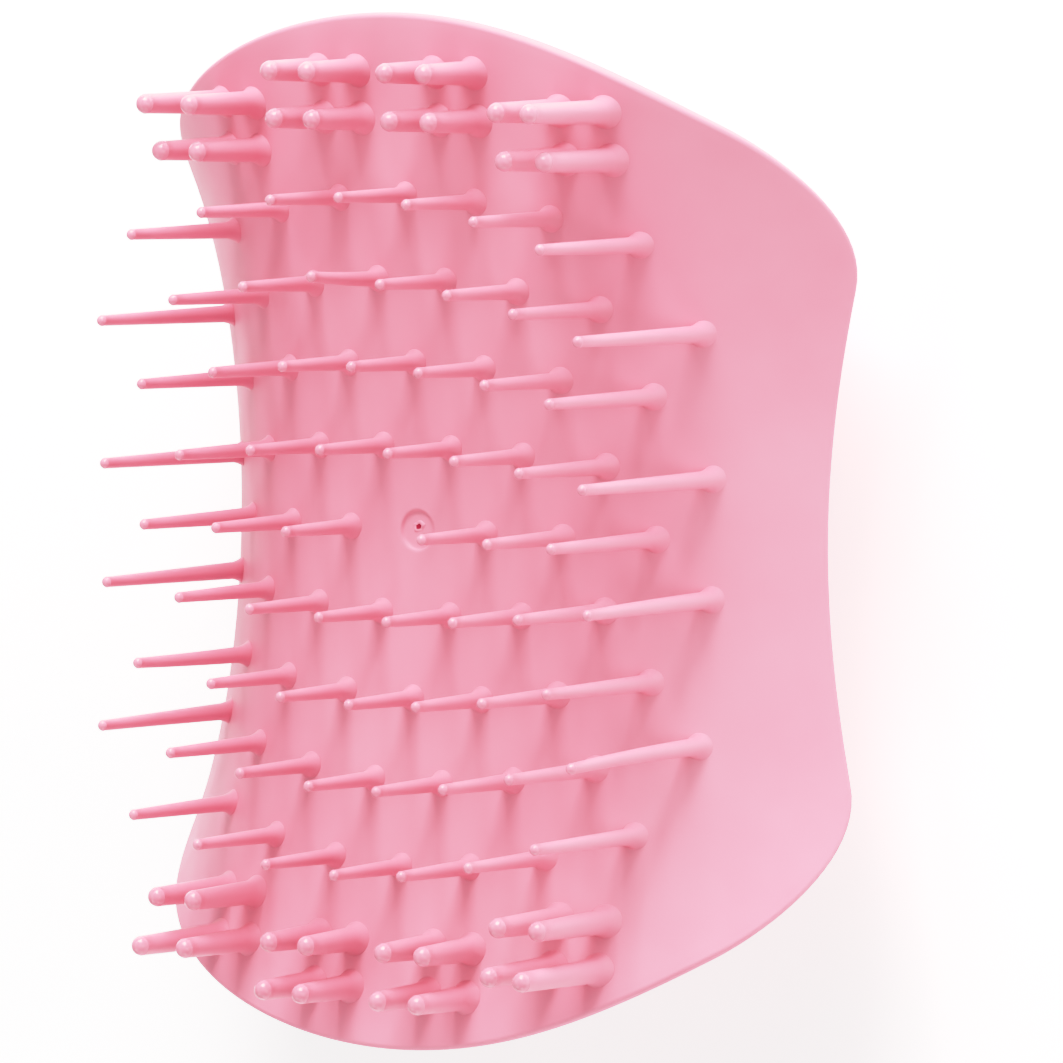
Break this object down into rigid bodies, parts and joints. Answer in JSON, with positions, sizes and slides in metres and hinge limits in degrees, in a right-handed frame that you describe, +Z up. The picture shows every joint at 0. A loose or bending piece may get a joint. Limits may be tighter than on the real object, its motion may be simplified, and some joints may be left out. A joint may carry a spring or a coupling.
{
  "type": "scalp massager brush",
  "caption": "Palm-held scalp massager brush with a saddle-shaped plate of fine tapering pins, thick massage pins along both ends and a domed back shell.",
  "frame": {"origin": "centre of the bounding box's footprint, on the flat crown of the back shell that the brush rests on", "axes": "+Z up, the way the pins point; Y along the length, with the front end at +Y; X across the width, with the brush symmetric about X = 0 and Y = 0"},
  "size_m": [0.0808, 0.1048, 0.0464],
  "materials": {
    "bristle_plastic": "satin soft plastic, pink",
    "shell_plastic": "satin plastic, pink"
  },
  "bodies": {
    "root": {"bristle_plate": "bristle_plastic", "back_shell": "shell_plastic", "fine_pins_row_1": "bristle_plastic", "fine_pins_row_2": "bristle_plastic", "fine_pins_row_3": "bristle_plastic", "fine_pins_row_4": "bristle_plastic", "fine_pins_row_5": "bristle_plastic", "fine_pins_row_6": "bristle_plastic", "fine_pins_row_7": "bristle_plastic", "fine_pins_row_8": "bristle_plastic", "fine_pins_row_9": "bristle_plastic", "thick_pins_front_left_inner": "bristle_plastic", "thick_pins_front_left_outer": "bristle_plastic", "thick_pins_front_right_inner": "bristle_plastic", "thick_pins_front_right_outer": "bristle_plastic", "thick_pins_rear_left_inner": "bristle_plastic", "thick_pins_rear_left_outer": "bristle_plastic", "thick_pins_rear_right_inner": "bristle_plastic", "thick_pins_rear_right_outer": "bristle_plastic"}
  },
  "joints": []
}
